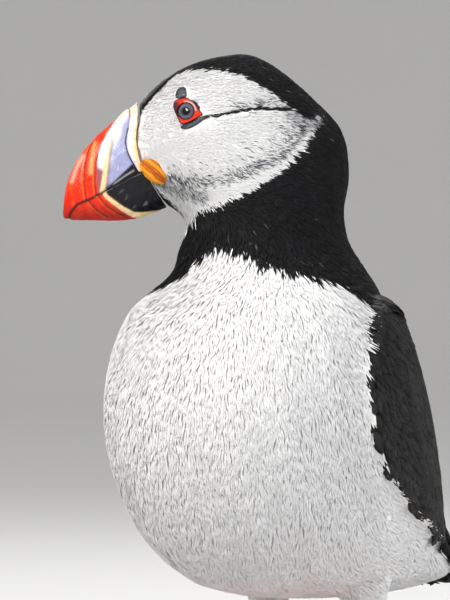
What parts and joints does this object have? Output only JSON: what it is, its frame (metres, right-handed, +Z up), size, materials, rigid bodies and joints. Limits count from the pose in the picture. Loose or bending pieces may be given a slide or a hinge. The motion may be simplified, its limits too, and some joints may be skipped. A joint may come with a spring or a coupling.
{
  "type": "atlantic puffin",
  "caption": "Life-size still model of a standing Atlantic puffin in breeding plumage, its head turned to its right.",
  "frame": {"origin": "middle of the box round the bird, on the floor it stands on", "axes": "+Z up; the body faces -Y; +X is the bird's left; the head is turned 50 degrees to the bird's right"},
  "size_m": [0.0968, 0.1848, 0.207],
  "materials": {
    "white_feather": "matt white feather",
    "black_feather": "matt black feather with a faint brown cast",
    "blue_horn": "satin blue-grey bill horn",
    "cream_horn": "satin cream horn",
    "red_horn": "satin orange-red grooved bill horn",
    "dark_horn": "satin dark slate bill horn",
    "yellow_skin": "wrinkled yellow-orange skin",
    "red_rim": "bare red skin",
    "slate_horn": "matt slate-blue horn",
    "eye": "wet glossy eye, grey-blue iris and black pupil",
    "orange_skin": "scaly orange-red leg skin",
    "black_claw": "polished black horn"
  },
  "bodies": {
    "root": {"head": "white_feather", "neck": "black_feather", "breast": "white_feather", "mantle": "black_feather", "belly": "white_feather", "rump": "black_feather", "bill_shield": "blue_horn", "bill_ridge": "cream_horn", "bill_upper_tip": "red_horn", "bill_lower_base": "dark_horn", "bill_lower_band": "cream_horn", "bill_lower_tip": "red_horn", "cere": "cream_horn", "eye_left": "eye", "eye_rim_left": "red_rim", "eye_plate_upper_left": "slate_horn", "eye_plate_lower_left": "slate_horn", "rosette_left": "yellow_skin", "eye_right": "eye", "eye_rim_right": "red_rim", "eye_plate_upper_right": "slate_horn", "eye_plate_lower_right": "slate_horn", "rosette_right": "yellow_skin", "wing_left": "black_feather", "primaries_left": "black_feather", "wing_right": "black_feather", "primaries_right": "black_feather", "tail": "black_feather", "thigh_left": "white_feather", "shank_left": "orange_skin", "foot_left": "orange_skin", "claw_left_inner": "black_claw", "claw_left_middle": "black_claw", "claw_left_outer": "black_claw", "thigh_right": "white_feather", "shank_right": "orange_skin", "foot_right": "orange_skin", "claw_right_inner": "black_claw", "claw_right_middle": "black_claw", "claw_right_outer": "black_claw"}
  },
  "joints": []
}
